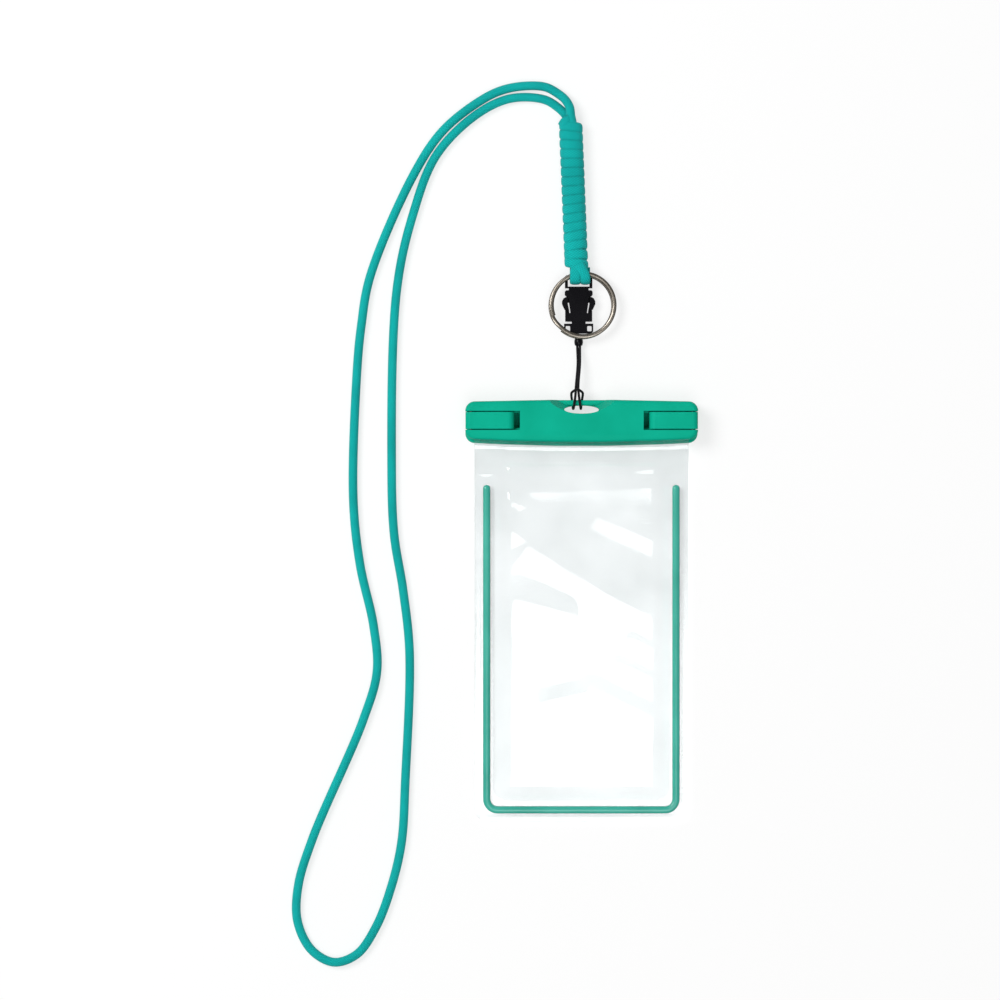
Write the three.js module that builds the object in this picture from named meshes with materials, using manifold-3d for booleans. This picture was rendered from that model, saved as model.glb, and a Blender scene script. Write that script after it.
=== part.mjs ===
// A waterproof phone pouch on a neck lanyard, lying flat on its back.
// Millimetres, +Z up. X runs along the clip bar and Y up the pouch towards the lanyard.
// The origin is the middle of the pouch's footprint, on the surface that it lies on.
import * as THREE from 'three';
import * as BufferGeometryUtils from 'three/addons/utils/BufferGeometryUtils.js';
import Module from 'manifold-3d';

const wasm = await Module();
wasm.setup();

// Pouch as a whole
const pouchLength = 200;
const pouchTop = pouchLength / 2;
const pouchBottom = -pouchLength / 2;
const contactGap = 0.3;

// Clip bar, which shuts the mouth
const clipLength = 110;
const clipThickness = 15;
const clipEndHeight = 19.6;
const clipTopCrown = 0.8;
const clipBottomCrown = 1.4;
const clipCorner = 4.5;
const clipEdgeRound = 2.2;
const frontLip = 1.6;
const clipEndTop = pouchTop - clipTopCrown;
const clipEndBottom = clipEndTop - clipEndHeight;
const clipBottom = clipEndBottom - clipBottomCrown;
const partingHeight = clipThickness / 2;
const rearFace = partingHeight - contactGap / 2;
const frontFace = partingHeight + contactGap / 2;

// Films of the bag
const filmThickness = 0.5;
const bagInset = 4.3;
const bagHalfWidth = clipLength / 2 - bagInset;
const bagCorner = 6.6;
const filmInsertion = 6.2;
const filmTop = clipEndBottom + filmInsertion;
const filmRelief = 0.5;
const filmSideRoom = 0.5;
const riseLength = 13;
const riseTop = clipBottom - 0.6;
const riseBottom = riseTop - riseLength;
const rearFilmInClip = partingHeight - contactGap / 2 - filmThickness;
const frontFilmInClip = partingHeight + contactGap / 2;
const frontFilmFloor = filmThickness + contactGap;

// Pocket for the phone, raised in the front film
const pocketHeight = 6.5;
const pocketSlope = 5;
const pocketBottom = pouchBottom + 9;
const pocketTop = riseTop - 2;
const pocketCorner = 8;

// Green bead round the window
const beadWidth = 3.5;
const beadHeight = 2.2;
const beadHalfSpan = bagHalfWidth - 5.8;
const beadBottom = pouchBottom + 5.6;
const beadTop = riseBottom - 4.8;
const beadCorner = 5.2;
const pocketHalfWidth = beadHalfSpan - 2.5;

// Seal strips in the jaws
const sealHalfLength = bagHalfWidth - 2.2;
const sealWidth = 3;
const sealHeight = 1.6;
const sealInset = 3.8;
const sealY = clipEndBottom + sealInset;

// Latches at the two ends of the clip
const latchWidth = 8;
const latchY = clipEndTop - 9;
const latchLength = 23;
const latchArm = 3.2;
const latchEndInset = 0.1;
const latchSideGap = 0.5;
const latchFloorGap = 0.5;
const latchCorner = 2.4;
const latchNose = 3;
const fingerSlot = 2.7;
const fingerSlotFloor = 2.6;
const fingerSlotWall = 1;
const nibRoom = 1;
const notchFloor = 0.6;
const nibHeight = 0.9;
const pivotInset = 2.9;
const pivotHeight = 3.8;
const knuckleRadius = 2.5;
const pinRadius = 0.8;
const pinGap = 0.3;
const pinOverhang = 2.8;
const latchOuter = clipLength / 2 - latchEndInset;
const pivotX = clipLength / 2 - pivotInset;
const channelEnd = latchOuter - latchLength - fingerSlot;
const endNotch = pivotX - knuckleRadius - contactGap;

// Hitch bar and lanyard hole
const holeWidth = 16.5;
const holeHeight = 3.9;
const hitchBarWidth = 2.7;
const hitchBarLow = 4;
const hitchBarHigh = 8;
const hitchHalfLength = 14.3;
const holeY = pouchTop - hitchBarWidth - holeHeight / 2;
const scoopRadius = 23.9;
const scoopDraft = 3.5;
const scoopMiddle = pouchTop + 16.75;

// Side-release buckle, lying along Y above the clip
const buckleX = -1.3;
const buckleLow = 0.3;
const buckleThickness = 5;
const buckleMiddle = buckleLow + buckleThickness / 2;
const plugThickness = 3.2;
const plugLow = buckleMiddle - plugThickness / 2;
const plugEnd = pouchTop + 31.5;
const plugBaseLength = 4.7;
const mouthGap = 1;
const plugBaseHalfWidth = 6.9;
const eyeletHalfWidth = 1.05;
const eyeletHalfLength = 1.25;
const eyeletX = 5.1;
const socketMouth = plugEnd + plugBaseLength + mouthGap;
const collarLength = 4;
const collarHalfWidth = 6.4;
const collarTop = socketMouth + collarLength;
const railTop = collarTop + 1.1;
const railWidth = 0.8;
const waistHalfWidth = 3.9;
const waistTopHalfWidth = 4.6;
const waistLength = 7.9;
const waistTop = collarTop + waistLength;
const windowTop = waistTop - 2.9;
const windowHalfWidth = 5.1;
const webHalfWidth = 5.75;
const webThickness = 0.6;
const shoulderHalfWidth = 6.6;
const shoulderLength = 2.9;
const shoulderTop = waistTop + shoulderLength;
const neckHalfWidth = 4.7;
const neckLength = 1.75;
const socketTop = shoulderTop + neckLength;
const socketWall = 0.9;
const boxWall = 0.65;
const stemHalfWidth = 3.3;
const tongueHalfWidth = 2;
const tongueLength = 9.4;
const prongWidth = 0.85;
const padWidth = 2.7;
const padOuter = 7.9;
const legOuter = 6.5;
const legWidth = 1.4;
const crossbarWidth = 1.8;
const crossbarLow = 2.65;
const crossbarThickness = 1.75;
const postFoot = 0.8;
const slotLength = 3.55;

// Cord that goes round the buckle's crossbar
const strandThickness = 2.3;
const strandWidth = 4.75;
const loopRearHeight = 0.15 + strandThickness / 2;
const loopFrontHeight = 9.2;
const loopTurn = socketTop + 0.9 + strandThickness / 2;
const loopEnd = socketTop + 7.75;

// Braided sleeve above the buckle
const braidLength = 70.8;
const braidBottom = new THREE.Vector2(buckleX - 1, loopEnd + contactGap);
const braidTop = new THREE.Vector2(buckleX - 3.9, braidBottom.y + braidLength);
const braidHalfWidth = 5.6;
const braidHalfThickness = 4.6;
const braidWraps = 16;
const braidGroove = 0.55;

// Split ring
const ringOuterRadius = 16;
const ringWireWidth = 2.3;
const ringWireHeight = 0.9;
const ringCoilPitch = 1;
const ringRadius = ringOuterRadius - ringWireWidth / 2;
const ringRest = crossbarLow + crossbarThickness + 0.4 + (ringWireHeight + ringCoilPitch) / 2;
const ringCentre = new THREE.Vector3(buckleX + 1.8, loopEnd - 0.7 - ringOuterRadius, ringRest);

// Thin tether between the buckle and the hitch bar
const tetherDiameter = 1.2;
const tetherX = -2.1;
const tetherBeadRadius = 2.1;
const tetherBeadBore = 1.6;
const tetherBeadLength = 3.5;
const tetherBeadLow = plugEnd - 5.7;
const tetherBeadHigh = tetherBeadLow + tetherBeadLength;

// Neck cord
const cordDiameter = 4.2;
const cordRest = cordDiameter / 2 + 0.1;

// Finishes
const green = { color: 0x0fad8b, roughness: 0.45, metalness: 0 };
const film = { color: 0xe6ecf0, roughness: 0.1, metalness: 0, transparent: true, opacity: 0.35 };
const trim = { color: 0x32a08c, roughness: 0.35, metalness: 0 };
const silicone = { color: 0xd8dedc, roughness: 0.6, metalness: 0 };
const steel = { color: 0xb8b8b8, roughness: 0.3, metalness: 1 };
const nickel = { color: 0x8f8a82, roughness: 0.3, metalness: 1 };
const teal = { color: 0x14afa5, roughness: 0.85, metalness: 0 };
const black = { color: 0x17151a, roughness: 0.25, metalness: 0 };
const blackCord = { color: 0x141414, roughness: 0.8, metalness: 0 };

const pouch = new THREE.Group();

function addPiece(name, geometry, finish) {
  const mesh = new THREE.Mesh(geometry, new THREE.MeshStandardMaterial(finish));
  mesh.name = name;
  pouch.add(mesh);
}

// Turns a closed geometry into a solid that can be cut and joined.
function solid(geometry) {
  const bare = geometry.index ? geometry.toNonIndexed() : geometry.clone();
  bare.deleteAttribute('normal');
  bare.deleteAttribute('uv');
  const merged = BufferGeometryUtils.mergeVertices(bare);
  return new wasm.Manifold(new wasm.Mesh({
    numProp: 3,
    vertProperties: new Float32Array(merged.attributes.position.array),
    triVerts: new Uint32Array(merged.index.array),
  }));
}

function geometryOf(cutSolid) {
  const mesh = cutSolid.getMesh();
  const geometry = new THREE.BufferGeometry();
  geometry.setAttribute('position', new THREE.BufferAttribute(mesh.vertProperties, 3));
  geometry.setIndex(new THREE.BufferAttribute(mesh.triVerts, 1));
  geometry.computeVertexNormals();
  return geometry;
}

// A box from its lowest to its highest corner.
function block(low, high) {
  const size = new THREE.Vector3(...high).sub(new THREE.Vector3(...low));
  const geometry = new THREE.BoxGeometry(size.x, size.y, size.z);
  return geometry.translate(low[0] + size.x / 2, low[1] + size.y / 2, low[2] + size.z / 2);
}

// A plan outline raised from one height to another.
function raise(shape, low, high, curveSegments = 6) {
  const geometry = new THREE.ExtrudeGeometry(shape, { depth: high - low, bevelEnabled: false, curveSegments });
  return geometry.translate(0, 0, low);
}

// A side outline in X and Z, carried across Y.
function across(shape, middleY, width, curveSegments = 8) {
  const geometry = new THREE.ExtrudeGeometry(shape, { depth: width, bevelEnabled: false, curveSegments });
  return geometry.rotateX(Math.PI / 2).translate(0, middleY + width / 2, 0);
}

// A side outline in Y and Z, carried along X on both sides of the middle.
function along(shape, halfLength, curveSegments = 8) {
  const geometry = new THREE.ExtrudeGeometry(shape, {
    depth: 2 * halfLength,
    bevelEnabled: false,
    curveSegments,
  });
  const turn = new THREE.Matrix4().makeBasis(
    new THREE.Vector3(0, 1, 0),
    new THREE.Vector3(0, 0, 1),
    new THREE.Vector3(1, 0, 0),
  );
  return geometry.applyMatrix4(turn).translate(-halfLength, 0, 0);
}

// A rod along Y.
function rod(x, y, z, radius, length, sides) {
  return new THREE.CylinderGeometry(radius, radius, length, sides).translate(x, y, z);
}

function roundedRectangle(left, bottom, right, top, radius) {
  const shape = new THREE.Shape();
  shape.moveTo(left + radius, bottom);
  shape.lineTo(right - radius, bottom);
  shape.absarc(right - radius, bottom + radius, radius, -Math.PI / 2, 0);
  shape.lineTo(right, top - radius);
  shape.absarc(right - radius, top - radius, radius, 0, Math.PI / 2);
  shape.lineTo(left + radius, top);
  shape.absarc(left + radius, top - radius, radius, Math.PI / 2, Math.PI);
  shape.lineTo(left, bottom + radius);
  shape.absarc(left + radius, bottom + radius, radius, Math.PI, 1.5 * Math.PI);
  return shape;
}

function polygon(points) {
  return new THREE.Shape(points.map(([u, v]) => new THREE.Vector2(u, v)));
}

// An oval section with flat sides, for cords and wire.
function oval(halfHeight, halfWidth, sides) {
  const points = [];
  for (let i = 0; i < sides; i += 1) {
    const angle = (i / sides) * 2 * Math.PI;
    points.push([halfHeight * Math.cos(angle), halfWidth * Math.sin(angle)]);
  }
  return polygon(points);
}

function tube(path, section, steps) {
  return new THREE.ExtrudeGeometry(section, { steps, bevelEnabled: false, extrudePath: path, curveSegments: 8 });
}

// Clip bar: one rounded bar, parted into a rear and a front half

function clipBar(low, high, lip) {
  const half = clipLength / 2;
  const below = clipEndBottom + lip;
  const shape = new THREE.Shape();
  shape.moveTo(-half + clipCorner, below);
  shape.quadraticCurveTo(0, clipBottom + lip - clipBottomCrown, half - clipCorner, below);
  shape.absarc(half - clipCorner, below + clipCorner, clipCorner, -Math.PI / 2, 0);
  shape.lineTo(half, clipEndTop - clipCorner);
  shape.absarc(half - clipCorner, clipEndTop - clipCorner, clipCorner, 0, Math.PI / 2);
  shape.quadraticCurveTo(0, pouchTop + clipTopCrown, -half + clipCorner, clipEndTop);
  shape.absarc(-half + clipCorner, clipEndTop - clipCorner, clipCorner, Math.PI / 2, Math.PI);
  shape.lineTo(-half, below + clipCorner);
  shape.absarc(-half + clipCorner, below + clipCorner, clipCorner, Math.PI, 1.5 * Math.PI);
  const geometry = new THREE.ExtrudeGeometry(shape, {
    depth: high - low - 2 * clipEdgeRound,
    bevelThickness: clipEdgeRound,
    bevelSize: clipEdgeRound,
    bevelOffset: -clipEdgeRound,
    bevelSegments: 4,
    curveSegments: 8,
  });
  return solid(geometry.translate(0, 0, low + clipEdgeRound));
}

function lanyardHole() {
  const shape = new THREE.Shape();
  shape.absellipse(0, holeY, holeWidth / 2, holeHeight / 2, 0, 2 * Math.PI);
  return solid(raise(shape, -1, clipThickness + 1, 32));
}

// The cut over the hitch bar: an arc in plan that narrows on its way down
function scoop() {
  const floor = hitchBarHigh + contactGap;
  const depth = clipThickness + 1 - floor;
  const geometry = new THREE.CylinderGeometry(scoopRadius, scoopRadius - scoopDraft, depth, 96);
  return solid(geometry.rotateX(Math.PI / 2).translate(0, scoopMiddle, floor + depth / 2));
}

// The space beside a latch's nose, where a fingertip gets under it
function fingerPocket(side, reach, wall, low) {
  const near = side * channelEnd;
  const far = side * (channelEnd + reach);
  const half = latchWidth / 2 + latchSideGap - wall;
  return solid(block(
    [Math.min(near, far), latchY - half, low],
    [Math.max(near, far), latchY + half, clipThickness],
  ));
}

// Half of the bar, with the seat for its seal and film: side is -1 for the rear and 1 for the front.
function jaw(side) {
  const face = side < 0 ? rearFace : frontFace;
  const reach = clipLength;
  const frontBlank = clipBar(face - 2 * clipEdgeRound, clipThickness, frontLip);
  const frontSpace = solid(block([-reach, 0, face], [reach, pouchTop + 5, clipThickness + 1]));
  let half = side < 0 ? clipBar(0, face, 0) : frontBlank.intersect(frontSpace);
  const filmFace = face + side * (filmThickness + filmRelief);
  const filmSeat = block(
    [-bagHalfWidth - filmSideRoom, 0, Math.min(partingHeight, filmFace)],
    [bagHalfWidth + filmSideRoom, filmTop + filmSideRoom, Math.max(partingHeight, filmFace)],
  );
  half = half.subtract(solid(filmSeat));
  const grooveFloor = face + side * (filmThickness + contactGap + sealHeight + contactGap);
  const grooveHalf = sealWidth / 2 + contactGap;
  const groove = block(
    [-sealHalfLength - contactGap, sealY - grooveHalf, Math.min(partingHeight, grooveFloor)],
    [sealHalfLength + contactGap, sealY + grooveHalf, Math.max(partingHeight, grooveFloor)],
  );
  return half.subtract(solid(groove)).subtract(lanyardHole());
}

function buildRearShell() {
  let shell = jaw(-1);
  const notchHalf = latchWidth / 2 + contactGap;
  const pinHole = pinRadius + pinGap;
  const pinReach = latchWidth + 2 * (contactGap + pinOverhang + pinGap);
  for (const side of [-1, 1]) {
    const inner = side * endNotch;
    const outer = side * clipLength;
    shell = shell.subtract(solid(block(
      [Math.min(inner, outer), latchY - notchHalf, notchFloor],
      [Math.max(inner, outer), latchY + notchHalf, clipThickness],
    )));
    shell = shell.subtract(solid(rod(side * pivotX, latchY, pivotHeight, pinHole, pinReach, 16)));
    shell = shell.subtract(fingerPocket(side, 1.5 * fingerSlot, fingerSlotWall, fingerSlotFloor));
  }
  const tetherRoom = block(
    [-holeWidth / 2, holeY, -1],
    [holeWidth / 2, pouchTop + 1, hitchBarLow],
  );
  shell = shell.subtract(solid(tetherRoom));
  const hitchBar = roundedRectangle(
    pouchTop - hitchBarWidth,
    hitchBarLow,
    pouchTop - 0.1,
    hitchBarHigh,
    0.8,
  );
  return shell.add(solid(along(hitchBar, hitchHalfLength - contactGap, 4)));
}

function buildFrontShell() {
  let shell = jaw(1).subtract(scoop());
  const barRoom = block(
    [-hitchHalfLength, pouchTop - hitchBarWidth - contactGap, 0],
    [hitchHalfLength, pouchTop + 1, hitchBarHigh + contactGap],
  );
  shell = shell.subtract(solid(barRoom));
  const channelHalf = latchWidth / 2 + latchSideGap;
  const channelFloor = clipThickness - latchArm - latchFloorGap;
  for (const side of [-1, 1]) {
    const cuts = [
      [channelEnd, channelFloor],
      [endNotch, 0],
    ];
    for (const [from, floor] of cuts) {
      const inner = side * from;
      const outer = side * clipLength;
      shell = shell.subtract(solid(block(
        [Math.min(inner, outer), latchY - channelHalf, floor],
        [Math.max(inner, outer), latchY + channelHalf, clipThickness + 1],
      )));
    }
    shell = shell.subtract(fingerPocket(side, 3 * fingerSlot, 0, channelFloor - nibRoom));
    shell = shell.subtract(fingerPocket(side, 1.5 * fingerSlot, fingerSlotWall, 0));
  }
  return shell;
}

// Latches: an arm in the front jaw and a leg down to its pin in the rear jaw

function latchProfile(side) {
  const place = (inward) => side * (latchOuter - inward);
  const under = clipThickness - latchArm;
  const pivot = latchOuter - pivotX;
  const outline = new THREE.Shape();
  outline.moveTo(pivot + knuckleRadius, pivotHeight);
  outline.lineTo(pivot + knuckleRadius, under);
  outline.lineTo(latchLength - 4.5, under);
  outline.lineTo(latchLength - 4.1, under - nibHeight);
  outline.lineTo(latchLength - 3, under - nibHeight);
  outline.lineTo(latchLength - 3, under);
  outline.lineTo(latchLength - 0.3, under);
  outline.absarc(latchLength - latchNose, clipThickness - latchNose, latchNose, 0, Math.PI / 2);
  outline.lineTo(latchCorner, clipThickness);
  outline.absarc(latchCorner, clipThickness - latchCorner, latchCorner, Math.PI / 2, Math.PI);
  outline.lineTo(0, pivotHeight + knuckleRadius);
  outline.absarc(pivot, pivotHeight, knuckleRadius, Math.PI, 2 * Math.PI);
  const points = outline.getPoints(6).map((p) => new THREE.Vector2(place(p.x), p.y));
  return new THREE.Shape(points);
}

function buildLatch(side) {
  const body = solid(across(latchProfile(side), latchY, latchWidth));
  const hole = rod(side * pivotX, latchY, pivotHeight, pinRadius + pinGap, latchWidth + 2, 16);
  return body.subtract(solid(hole));
}

function buildPin(side) {
  const length = latchWidth + 2 * (contactGap + pinOverhang);
  return rod(side * pivotX, latchY, pivotHeight, pinRadius, length, 16);
}

// Seal strips, each bonded in its jaw with its crown towards the film
function buildSeal(side) {
  const face = side < 0 ? rearFace : frontFace;
  const crown = face + side * (filmThickness + contactGap);
  const foot = crown + side * sealHeight;
  const half = sealWidth / 2;
  const shape = polygon([
    [sealY - half, foot],
    [sealY + half, foot],
    [sealY + half, crown + side * 0.5],
    [sealY + half - 0.9, crown],
    [sealY - half + 0.9, crown],
    [sealY - half, crown + side * 0.5],
  ]);
  return along(shape, sealHalfLength);
}

// Films. Each height line is a list of Y and Z from the bottom weld to the clip.

function bagOutline(extra) {
  const half = bagHalfWidth + extra;
  const shape = new THREE.Shape();
  shape.moveTo(-half + bagCorner, pouchBottom - extra);
  shape.lineTo(half - bagCorner, pouchBottom - extra);
  shape.absarc(half - bagCorner, pouchBottom - extra + bagCorner, bagCorner, -Math.PI / 2, 0);
  shape.lineTo(half, filmTop + extra);
  shape.lineTo(-half, filmTop + extra);
  shape.lineTo(-half, pouchBottom - extra + bagCorner);
  shape.absarc(-half + bagCorner, pouchBottom - extra + bagCorner, bagCorner, Math.PI, 1.5 * Math.PI);
  return shape;
}

function heightLine(low, high) {
  const points = [[pouchBottom - 5, low]];
  const parts = 6;
  for (let i = 0; i <= parts; i += 1) {
    const t = i / parts;
    points.push([riseBottom + t * riseLength, low + (high - low) * t * t * (3 - 2 * t)]);
  }
  points.push([filmTop + 5, high]);
  return points;
}

function buildRearSheet() {
  const under = heightLine(0, rearFilmInClip);
  const over = under.map(([y, z]) => [y, z + filmThickness]).reverse();
  const strip = solid(along(polygon([...under, ...over]), bagHalfWidth + 5));
  return strip.intersect(solid(raise(bagOutline(0), -1, clipThickness)));
}

// All the space under the front film's upper side, lowered by a drop.
function underFrontFilm(drop, extra) {
  const floor = -2 - drop;
  const line = heightLine(frontFilmFloor + filmThickness, frontFilmInClip + filmThickness);
  const lowered = line.map(([y, z]) => [y, z - drop]);
  const profile = [[filmTop + 5, floor], [pouchBottom - 5, floor], ...lowered];
  const hill = solid(along(polygon(profile), bagHalfWidth + 5));
  const plateau = roundedRectangle(
    -pocketHalfWidth,
    pocketBottom,
    pocketHalfWidth,
    pocketTop,
    pocketCorner,
  );
  const slopeHeight = pocketHeight - frontFilmFloor - filmThickness;
  const pocket = new THREE.ExtrudeGeometry(plateau, {
    depth: slopeHeight,
    bevelThickness: slopeHeight,
    bevelSize: pocketSlope,
    bevelOffset: -pocketSlope,
    bevelSegments: 3,
    curveSegments: 6,
  });
  pocket.translate(0, 0, pocketHeight - 2 * slopeHeight - drop);
  const base = solid(raise(bagOutline(extra), floor, clipThickness));
  return hill.add(solid(pocket)).intersect(base);
}

function buildFrontSheet() {
  return underFrontFilm(0, 0).subtract(underFrontFilm(filmThickness, 0.4));
}

function buildTrimBead() {
  const path = new THREE.CurvePath();
  const flat = (x, y) => new THREE.Vector3(x, y, frontFilmFloor + filmThickness + contactGap);
  const corner = (x, y, fromX, fromY, toX, toY) => new THREE.QuadraticBezierCurve3(
    flat(fromX, fromY),
    flat(x, y),
    flat(toX, toY),
  );
  const near = beadHalfSpan - beadCorner;
  const above = beadBottom + beadCorner;
  path.add(new THREE.LineCurve3(flat(-beadHalfSpan, beadTop), flat(-beadHalfSpan, above)));
  path.add(corner(-beadHalfSpan, beadBottom, -beadHalfSpan, above, -near, beadBottom));
  path.add(new THREE.LineCurve3(flat(-near, beadBottom), flat(near, beadBottom)));
  path.add(corner(beadHalfSpan, beadBottom, near, beadBottom, beadHalfSpan, above));
  path.add(new THREE.LineCurve3(flat(beadHalfSpan, above), flat(beadHalfSpan, beadTop)));
  const half = beadWidth / 2;
  const section = polygon([
    [0, -half],
    [0, half],
    [-beadHeight * 0.55, half * 0.93],
    [-beadHeight * 0.9, half * 0.55],
    [-beadHeight, 0],
    [-beadHeight * 0.9, -half * 0.55],
    [-beadHeight * 0.55, -half * 0.93],
  ]);
  const cornerParts = 6;
  const line = [flat(-beadHalfSpan, beadTop)];
  for (const piece of path.curves) {
    const parts = piece.isLineCurve3 ? 1 : cornerParts;
    for (let i = 1; i <= parts; i += 1) {
      line.push(piece.getPoint(i / parts));
    }
  }
  return sweep(line, section);
}

// A section carried along a list of points in one plane, mitred at each point.
function sweep(line, section) {
  const rim = section.getPoints(1);
  const count = rim.length - (rim[0].equals(rim[rim.length - 1]) ? 1 : 0);
  const positions = [];
  for (let i = 0; i < line.length; i += 1) {
    const before = line[Math.max(0, i - 1)];
    const after = line[Math.min(line.length - 1, i + 1)];
    const into = line[i].clone().sub(before).normalize();
    const out = after.clone().sub(line[i]).normalize();
    const ahead = into.clone().add(out).normalize();
    const side = new THREE.Vector3(-ahead.y, ahead.x, 0);
    const known = i === 0 ? out : into;
    const stretch = 1 / Math.max(0.5, Math.abs(ahead.dot(known)));
    for (let k = 0; k < count; k += 1) {
      const place = line[i].clone().addScaledVector(side, rim[k].y * stretch);
      positions.push(place.x, place.y, place.z - rim[k].x);
    }
  }
  const faces = [];
  for (let i = 0; i < line.length - 1; i += 1) {
    for (let k = 0; k < count; k += 1) {
      const next = (k + 1) % count;
      const a = i * count + k;
      const b = i * count + next;
      faces.push(a, b, a + count, b, b + count, a + count);
    }
  }
  const last = (line.length - 1) * count;
  for (let k = 1; k < count - 1; k += 1) {
    faces.push(0, k + 1, k);
    faces.push(last, last + k, last + k + 1);
  }
  const geometry = new THREE.BufferGeometry();
  geometry.setAttribute('position', new THREE.Float32BufferAttribute(positions, 3));
  geometry.setIndex(faces);
  geometry.computeVertexNormals();
  return geometry;
}

// Side-release buckle

function mirrored(points) {
  const other = points.map(([x, y]) => [-x, y]).reverse();
  return [...points, ...other];
}

function atBuckle(points) {
  return polygon(points.map(([x, y]) => [buckleX + x, y]));
}

function buildSocket() {
  const outline = mirrored([
    [collarHalfWidth, socketMouth],
    [collarHalfWidth, railTop],
    [collarHalfWidth - railWidth, railTop],
    [collarHalfWidth - railWidth, collarTop],
    [waistHalfWidth, collarTop],
    [waistTopHalfWidth, windowTop],
    [waistTopHalfWidth, waistTop],
    [shoulderHalfWidth - 0.6, waistTop],
    [shoulderHalfWidth, waistTop + 0.7],
    [shoulderHalfWidth, shoulderTop - 0.7],
    [shoulderHalfWidth - 0.6, shoulderTop],
    [neckHalfWidth, shoulderTop],
    [neckHalfWidth, socketTop],
  ]);
  let socket = solid(raise(atBuckle(outline), buckleLow, buckleLow + buckleThickness));
  const web = atBuckle(mirrored([
    [collarHalfWidth, collarTop - 1],
    [collarHalfWidth, windowTop],
    [webHalfWidth, windowTop + 0.6],
    [webHalfWidth, waistTop + 1],
  ]));
  web.holes.push(new THREE.Path(mirrored([
    [windowHalfWidth, collarTop],
    [windowHalfWidth, windowTop],
  ]).map(([x, y]) => new THREE.Vector2(buckleX + x, y))));
  socket = socket.add(solid(raise(web, buckleLow, buckleLow + webThickness)));
  const crossbarBottom = socketTop + slotLength;
  const crossbarEnd = crossbarBottom + crossbarWidth;
  const frame = atBuckle(mirrored([
    [legOuter, socketTop - postFoot],
    [legOuter, crossbarEnd - 0.6],
    [legOuter - 0.6, crossbarEnd],
  ]));
  const slotHalf = legOuter - legWidth;
  frame.holes.push(new THREE.Path([
    new THREE.Vector2(buckleX - slotHalf, socketTop),
    new THREE.Vector2(buckleX + slotHalf, socketTop),
    new THREE.Vector2(buckleX + slotHalf, crossbarBottom),
    new THREE.Vector2(buckleX - slotHalf, crossbarBottom),
  ]));
  socket = socket.add(solid(raise(frame, crossbarLow, crossbarLow + crossbarThickness)));
  const hollowLow = buckleLow + boxWall;
  const hollowHigh = buckleLow + buckleThickness - boxWall;
  const collarHalf = collarHalfWidth - socketWall;
  const waistHalf = tongueHalfWidth + contactGap;
  socket = socket.subtract(solid(block(
    [buckleX - collarHalf, socketMouth - 1, hollowLow],
    [buckleX + collarHalf, collarTop + contactGap, hollowHigh],
  )));
  return socket.subtract(solid(block(
    [buckleX - waistHalf, socketMouth - 1, hollowLow],
    [buckleX + waistHalf, waistTop + 1.5, hollowHigh],
  )));
}

function buildPlug() {
  const baseTop = plugEnd + plugBaseLength;
  const prongOuter = collarHalfWidth - socketWall - contactGap;
  const prongInner = prongOuter - prongWidth;
  const padInner = padOuter - padWidth;
  const stemTop = socketMouth + 0.8;
  const barb = railTop + contactGap;
  const padTop = waistTop - contactGap;
  const outline = atBuckle(mirrored([
    [plugBaseHalfWidth - 1, plugEnd],
    [plugBaseHalfWidth, plugEnd + 1],
    [plugBaseHalfWidth, baseTop],
    [stemHalfWidth, baseTop],
    [stemHalfWidth, stemTop - 0.4],
    [prongOuter, collarTop - 0.9],
    [prongOuter, barb],
    [padOuter - 1.2, barb + 0.2],
    [padOuter, barb + 2.8],
    [padOuter, padTop - 2],
    [padOuter - 0.7, padTop - 0.6],
    [padOuter - 1.8, padTop],
    [padInner + 0.5, padTop],
    [padInner, padTop - 0.5],
    [padInner, windowTop - 0.2],
    [prongInner + 0.15, railTop],
    [prongInner, collarTop - 0.7],
    [tongueHalfWidth + 0.5, stemTop],
    [tongueHalfWidth, stemTop],
    [tongueHalfWidth, baseTop + tongueLength - 0.8],
    [tongueHalfWidth - 0.8, baseTop + tongueLength],
  ]));
  let plug = solid(raise(outline, plugLow, plugLow + plugThickness));
  for (const side of [-1, 1]) {
    const x = buckleX + side * eyeletX;
    const y = plugEnd + plugBaseLength / 2;
    const eyelet = roundedRectangle(
      x - eyeletHalfWidth,
      y - eyeletHalfLength,
      x + eyeletHalfWidth,
      y + eyeletHalfLength,
      0.5,
    );
    plug = plug.subtract(solid(raise(eyelet, plugLow - 1, plugLow + plugThickness + 1)));
  }
  return plug;
}

// Two strands side by side, over the crossbar and back under it
function buildBarLoop() {
  const half = strandWidth / 2;
  const thick = strandThickness / 2;
  const section = polygon([
    [-half * 2, -thick * 0.45],
    [-half * 1.5, -thick],
    [-half * 0.5, -thick],
    [0, -thick * 0.6],
    [half * 0.5, -thick],
    [half * 1.5, -thick],
    [half * 2, -thick * 0.45],
    [half * 2, thick * 0.45],
    [half * 1.5, thick],
    [half * 0.5, thick],
    [0, thick * 0.6],
    [-half * 0.5, thick],
    [-half * 1.5, thick],
    [-half * 2, thick * 0.45],
  ]);
  const middle = (loopFrontHeight + loopRearHeight) / 2;
  const route = [
    [loopEnd, loopFrontHeight - 0.1],
    [loopTurn + 2.8, loopFrontHeight],
    [loopTurn + 0.6, loopFrontHeight - 1.2],
    [loopTurn, middle],
    [loopTurn + 0.3, loopRearHeight + 0.8],
    [loopTurn + 1.6, loopRearHeight],
    [loopEnd, loopRearHeight],
  ];
  const path = new THREE.CatmullRomCurve3(
    route.map(([y, z]) => new THREE.Vector3(buckleX + 0.3, y, z)),
    false,
    'centripetal',
  );
  return tube(path, section, 20);
}

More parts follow.
